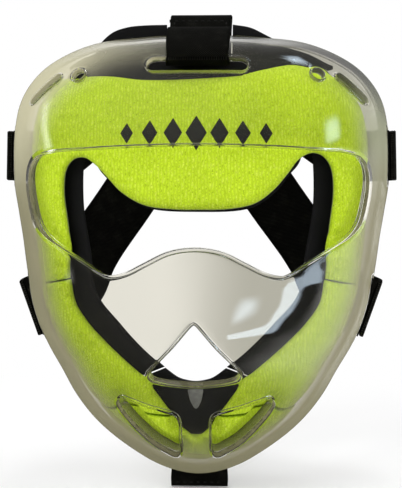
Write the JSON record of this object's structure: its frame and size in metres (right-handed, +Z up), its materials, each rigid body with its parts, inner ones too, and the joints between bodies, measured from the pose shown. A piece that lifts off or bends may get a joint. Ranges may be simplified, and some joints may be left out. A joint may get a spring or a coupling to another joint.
{
  "type": "field hockey face mask",
  "caption": "Clear moulded face shell with a padded liner and an elastic strap harness, worn over the face to guard it from a ball.",
  "frame": {"origin": "on the mask's middle line at the bridge of the nose, on the front plane of the brow; the reference point of the mount head", "axes": "+X to the right of a viewer who faces the mask, +Y back towards the wearer, +Z up; the mask looks along -Y"},
  "size_m": [0.218, 0.1777, 0.261],
  "materials": {
    "clear_shell": "clear polycarbonate, polished",
    "spacer_mesh": "knitted spacer mesh",
    "lining": "smooth brushed lining",
    "webbing": "woven elastic webbing",
    "hook": "hook tape",
    "grey_patch": "satin film"
  },
  "bodies": {
    "shell_and_liner": {"shell": "clear_shell", "brow_pad": "spacer_mesh", "cheek_pad_left": "spacer_mesh", "cheek_pad_right": "spacer_mesh", "chin_pad": "spacer_mesh", "brow_backing": "lining", "side_backing_left": "lining", "side_backing_right": "lining", "chin_backing": "lining", "crown_flap": "lining", "chin_patch": "grey_patch"},
    "harness": {"rear_panel": "webbing", "rear_panel_pad": "lining", "crown_strap": "webbing", "temple_strap_left": "webbing", "temple_strap_right": "webbing", "cheek_strap_left": "webbing", "cheek_strap_right": "webbing"},
    "crown_strap_end": {"crown_tab": "webbing", "crown_tab_hook_patch": "hook"},
    "temple_strap_end_left": {"temple_tab_left": "webbing", "temple_tab_hook_patch_left": "hook"},
    "temple_strap_end_right": {"temple_tab_right": "webbing", "temple_tab_hook_patch_right": "hook"},
    "cheek_strap_end_left": {"cheek_tab_left": "webbing", "cheek_tab_hook_patch_left": "hook"},
    "cheek_strap_end_right": {"cheek_tab_right": "webbing", "cheek_tab_hook_patch_right": "hook"},
    "chin_pull": {"chin_pull_tab": "webbing"}
  },
  "joints": [
    {"name": "harness_stretch", "type": "slide", "parent": "shell_and_liner", "child": "harness", "axis": [0, 1, 0], "range_m": [0, 0.04], "stiffness_N_per_m": 800, "deforming": ["crown_strap", "temple_strap_left", "temple_strap_right", "cheek_strap_left", "cheek_strap_right"]},
    {"name": "crown_end_peel", "type": "hinge", "parent": "shell_and_liner", "child": "crown_strap_end", "pos_m": [0, 0.02079, 0.09964], "axis": [1, 0, 0], "range_deg": [0, 75]},
    {"name": "temple_end_left_peel", "type": "hinge", "parent": "shell_and_liner", "child": "temple_strap_end_left", "pos_m": [-0.10501, 0.05811, 0.04851], "axis": [0.0239, 0, 0.9997], "range_deg": [0, 75]},
    {"name": "temple_end_right_peel", "type": "hinge", "parent": "shell_and_liner", "child": "temple_strap_end_right", "pos_m": [0.10501, 0.05811, 0.04851], "axis": [0.0239, 0, -0.9997], "range_deg": [0, 75]},
    {"name": "cheek_end_left_peel", "type": "hinge", "parent": "shell_and_liner", "child": "cheek_strap_end_left", "pos_m": [-0.09313, 0.0511, -0.03522], "axis": [-0.3298, 0, 0.9441], "range_deg": [0, 75]},
    {"name": "cheek_end_right_peel", "type": "hinge", "parent": "shell_and_liner", "child": "cheek_strap_end_right", "pos_m": [0.09313, 0.0511, -0.03522], "axis": [-0.3298, 0, -0.9441], "range_deg": [0, 75]},
    {"name": "chin_tab_swing", "type": "hinge", "parent": "shell_and_liner", "child": "chin_pull", "pos_m": [0, 0.04854, -0.1225], "axis": [1, 0, 0], "range_deg": [0, 60]}
  ]
}
